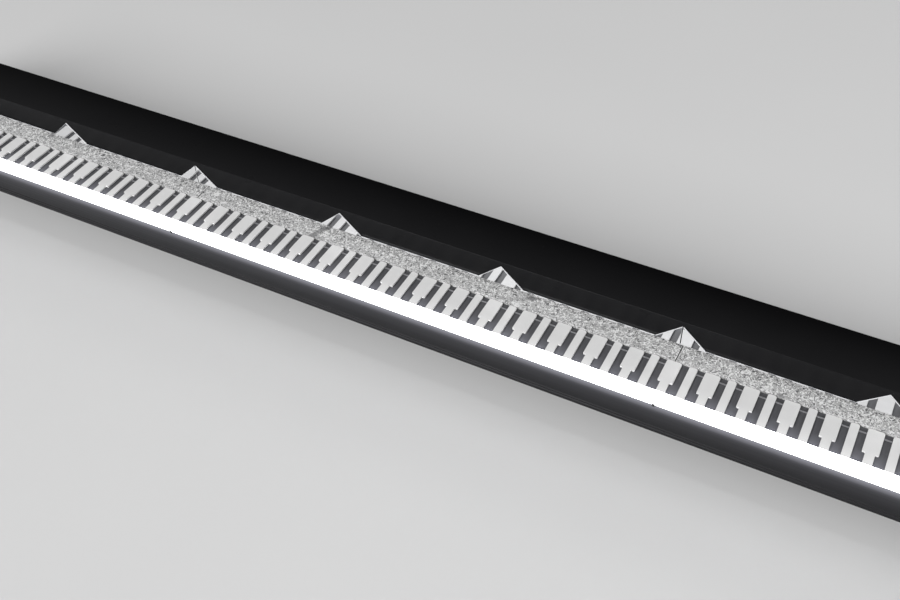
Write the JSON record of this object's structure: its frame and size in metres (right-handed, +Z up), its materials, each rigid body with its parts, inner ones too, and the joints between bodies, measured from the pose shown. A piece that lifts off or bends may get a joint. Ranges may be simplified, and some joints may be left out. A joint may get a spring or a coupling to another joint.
{
  "type": "led strip batten",
  "caption": "Long slim stage light bar: a glowing edge strip, a comb of frosted light keys, a zinc rail and a gloss hood with a mirrored crown, tilting between floor brackets.",
  "frame": {"origin": "centre of the footprint on the floor, under the line where the keys end at the rail", "axes": "+X along the bar, +Y from the light strip to the rear panel, +Z up"},
  "size_m": [1.061, 0.112, 0.0883],
  "materials": {
    "black_anodised": "satin black anodised extrusion",
    "gloss_black": "gloss black acrylic",
    "slate_deck": "slate grey satin anodised plate",
    "frosted_acrylic": "frosted light guide, faintly glowing",
    "opal_diffuser": "opal diffuser, lit cool white",
    "zinc_rail": "zinc coated, mottled grain",
    "mirror_polish": "mirror polished stainless trim",
    "moulded_black": "fine textured black moulding",
    "rubber_seal": "matt black",
    "bright_steel": "zinc plated",
    "painted_steel": "black powder coat",
    "board_white": "white solder resist with yellow light emitters",
    "board_green": "green solder resist",
    "heat_sink": "plain extruded",
    "can_black": "sleeved can",
    "winding_tape": "yellow winding tape",
    "terminal_grey": "grey moulding",
    "lead_sleeve": "soft sleeve",
    "switch_red": "gloss red"
  },
  "bodies": {
    "bar": {"cap_screw_left_1": "bright_steel", "cap_screw_left_2": "bright_steel", "cap_screw_left_3": "bright_steel", "cap_screw_left_4": "bright_steel", "cap_screw_right_1": "bright_steel", "cap_screw_right_2": "bright_steel", "cap_screw_right_3": "bright_steel", "cap_screw_right_4": "bright_steel", "capacitor_input": "can_black", "capacitor_output": "can_black", "comb_centre": "frosted_acrylic", "comb_left": "frosted_acrylic", "comb_right": "frosted_acrylic", "crown_centre": "mirror_polish", "crown_left": "mirror_polish", "crown_right": "mirror_polish", "deck_plate": "slate_deck", "diffuser_centre": "opal_diffuser", "diffuser_left": "opal_diffuser", "diffuser_right": "opal_diffuser", "dimmer_pot": "bright_steel", "driver_board": "board_green", "driver_heat_sink": "heat_sink", "driver_transformer": "winding_tape", "driver_tray": "terminal_grey", "end_cap_left": "moulded_black", "end_cap_right": "moulded_black", "friction_washer_left": "rubber_seal", "friction_washer_right": "rubber_seal", "fuse_holder": "moulded_black", "gasket_left": "rubber_seal", "gasket_right": "rubber_seal", "hood": "gloss_black", "hood_screw_centre": "bright_steel", "hood_screw_left": "bright_steel", "hood_screw_right": "bright_steel", "housing": "black_anodised", "led_board_centre": "board_white", "led_board_left": "board_white", "led_board_right": "board_white", "led_lead_centre": "lead_sleeve", "led_lead_left": "lead_sleeve", "led_lead_right": "lead_sleeve", "mains_lead": "lead_sleeve", "pivot_bolt_left": "bright_steel", "pivot_bolt_right": "bright_steel", "power_inlet": "moulded_black", "power_outlet": "moulded_black", "rail_centre": "zinc_rail", "rail_left": "zinc_rail", "rail_right": "zinc_rail", "switch_bezel": "moulded_black", "terminal_block": "terminal_grey"},
    "bracket_left": {"bracket_left": "painted_steel"},
    "bracket_right": {"bracket_right": "painted_steel"},
    "knob_left": {"clamp_knob_left": "moulded_black"},
    "knob_right": {"clamp_knob_right": "moulded_black"},
    "rocker": {"switch_rocker": "switch_red"},
    "fuse_cap": {"fuse_cap": "moulded_black"},
    "dimmer_knob": {"dimmer_knob": "moulded_black"}
  },
  "joints": [
    {"name": "tilt_left", "type": "hinge", "parent": "bar", "child": "bracket_left", "pos_m": [-0.5102, 0.006, 0.054], "axis": [1, 0, 0], "range_deg": [-90, 90]},
    {"name": "tilt_right", "type": "hinge", "parent": "bar", "child": "bracket_right", "pos_m": [0.5102, 0.006, 0.054], "axis": [1, 0, 0], "range_deg": [-90, 90]},
    {"name": "knob_left_turn", "type": "hinge", "parent": "bracket_left", "child": "knob_left", "pos_m": [-0.5135, 0.006, 0.054], "axis": [1, 0, 0], "continuous": true},
    {"name": "knob_right_turn", "type": "hinge", "parent": "bracket_right", "child": "knob_right", "pos_m": [0.5135, 0.006, 0.054], "axis": [1, 0, 0], "continuous": true},
    {"name": "switch_rock", "type": "hinge", "parent": "bar", "child": "rocker", "pos_m": [-0.425, 0.0395, 0.04335], "axis": [1, 0, 0], "range_deg": [0, 16]},
    {"name": "fuse_turn", "type": "hinge", "parent": "bar", "child": "fuse_cap", "pos_m": [-0.4, 0.0404, 0.04335], "axis": [0, 1, 0], "range_deg": [0, 60]},
    {"name": "dimmer_turn", "type": "hinge", "parent": "bar", "child": "dimmer_knob", "pos_m": [0.415, 0.0428, 0.04335], "axis": [0, 1, 0], "range_deg": [0, 270]}
  ]
}
